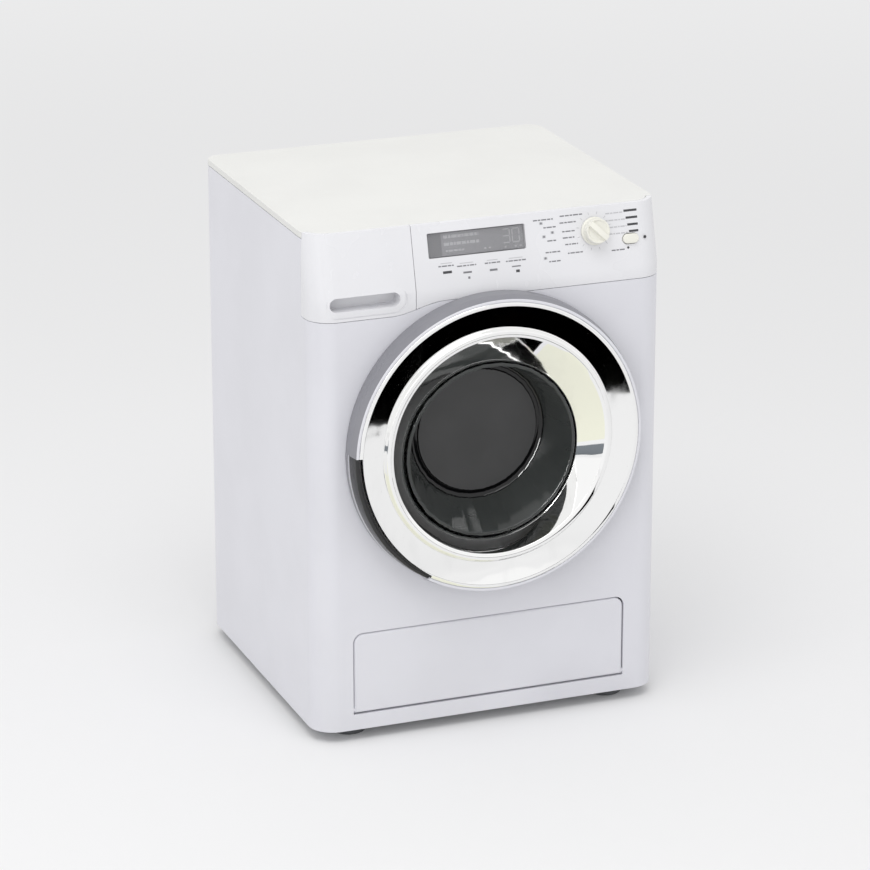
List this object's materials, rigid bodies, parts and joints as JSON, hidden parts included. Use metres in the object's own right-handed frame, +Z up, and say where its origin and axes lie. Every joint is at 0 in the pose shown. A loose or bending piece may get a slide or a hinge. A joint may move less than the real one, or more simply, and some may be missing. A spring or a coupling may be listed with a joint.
{
  "type": "toy washing machine",
  "caption": "Front-loading toy washing machine with a chromed round door, turning drum, sliding drawer, dial, service flap and battery bay.",
  "frame": {"origin": "on the floor under the middle of the machine", "axes": "+Z up, -Y out of the door, +X to the right seen from the front"},
  "size_m": [0.185, 0.18, 0.262],
  "materials": {
    "white_shell": "satin moulded plastic",
    "white_panel": "satin moulded plastic",
    "cream_top": "satin moulded plastic",
    "cream_dial": "satin moulded plastic",
    "grey_plastic": "moulded plastic",
    "dark_plastic": "moulded plastic",
    "black_plastic": "gloss",
    "gear_plastic": "self-lubricating plastic",
    "grey_rubber": "soft moulded rubber",
    "chromed_plastic": "vacuum-metallised, mirror",
    "smoked_bowl": "smoked clear plastic",
    "clear_lens": "clear plastic",
    "display_grey": "printed card",
    "silver_drum": "silver-coated plastic",
    "steel": "plated",
    "brass": "turned",
    "board_green": "circuit board",
    "cell_sleeve": "printed sleeve"
  },
  "bodies": {
    "cabinet": {"front_shell": "white_shell", "top_plate": "cream_top", "rear_cover": "white_shell", "base_tray": "grey_plastic", "foot_front_left": "grey_rubber", "foot_front_right": "grey_rubber", "foot_rear_left": "grey_rubber", "foot_rear_right": "grey_rubber", "cover_screw_low_left": "steel", "cover_screw_high_left": "steel", "cover_screw_low_right": "steel", "cover_screw_high_right": "steel", "control_panel": "white_panel", "display_lens": "clear_lens", "display_card": "display_grey", "rotary_switch": "dark_plastic", "start_switch": "dark_plastic", "circuit_board": "board_green", "drawer_housing": "grey_plastic", "fill_chute": "grey_plastic", "drain_spout": "grey_plastic", "door_catch": "grey_plastic", "hinge_pin": "steel", "tub": "grey_plastic", "door_seal": "grey_rubber", "drum_bush": "brass", "motor_can": "steel", "motor_mount": "grey_plastic", "battery_box": "dark_plastic", "battery_cell_1": "cell_sleeve", "battery_cell_2": "cell_sleeve", "battery_cell_3": "cell_sleeve", "battery_contact_high": "steel", "battery_contact_low": "steel", "speaker": "dark_plastic", "power_switch": "dark_plastic"},
    "door": {"door_ring": "chromed_plastic", "door_back": "white_shell", "door_grip": "black_plastic", "door_bowl": "smoked_bowl", "door_latch": "white_shell"},
    "drum": {"drum_shell": "silver_drum", "drum_lifter_1": "grey_plastic", "drum_lifter_2": "grey_plastic", "drum_lifter_3": "grey_plastic", "drum_shaft": "steel", "drum_gear": "gear_plastic"},
    "motor_rotor": {"motor_pinion": "brass"},
    "drawer": {"drawer_front": "white_panel", "drawer_tray": "white_shell"},
    "dial": {"program_dial": "cream_dial"},
    "start": {"start_button": "white_panel"},
    "flap": {"service_flap": "white_shell"},
    "battery_hatch": {"battery_door": "white_shell", "battery_door_screw": "steel"},
    "plug": {"drain_plug": "grey_rubber"},
    "power": {"power_slider": "black_plastic"}
  },
  "joints": [
    {"name": "door_hinge", "type": "hinge", "parent": "cabinet", "child": "door", "pos_m": [0.074, -0.0822, 0.151], "axis": [0, 0, 1], "range_deg": [0, 115]},
    {"name": "drum_spin", "type": "hinge", "parent": "cabinet", "child": "drum", "pos_m": [0, 0, 0.151], "axis": [0, 1, 0], "continuous": true},
    {"name": "motor_spin", "type": "hinge", "parent": "cabinet", "child": "motor_rotor", "pos_m": [-0.02669, 0.05, 0.12431], "axis": [0, 1, 0], "continuous": true},
    {"name": "drawer_slide", "type": "slide", "parent": "cabinet", "child": "drawer", "axis": [0, -1, 0], "range_m": [0, 0.045]},
    {"name": "dial_turn", "type": "hinge", "parent": "cabinet", "child": "dial", "pos_m": [0.056, -0.0718, 0.2504], "axis": [0, -0.9659, 0.2588], "continuous": true},
    {"name": "start_press", "type": "slide", "parent": "cabinet", "child": "start", "axis": [0, 0.9659, -0.2588], "range_m": [0, 0.001], "stiffness_N_per_m": 300},
    {"name": "flap_hinge", "type": "hinge", "parent": "cabinet", "child": "flap", "pos_m": [0, -0.0755, 0.0165], "axis": [1, 0, 0], "range_deg": [0, 90]},
    {"name": "battery_hatch_lift", "type": "slide", "parent": "cabinet", "child": "battery_hatch", "axis": [0, 1, 0], "range_m": [0, 0.03]},
    {"name": "plug_pull", "type": "slide", "parent": "cabinet", "child": "plug", "axis": [0, 1, 0], "range_m": [0, 0.025]},
    {"name": "power_slide", "type": "slide", "parent": "cabinet", "child": "power", "axis": [1, 0, 0], "range_m": [0, 0.005]}
  ],
  "couplings": [
    {"joint": "motor_spin", "follows": "drum_spin", "ratio": -4}
  ]
}
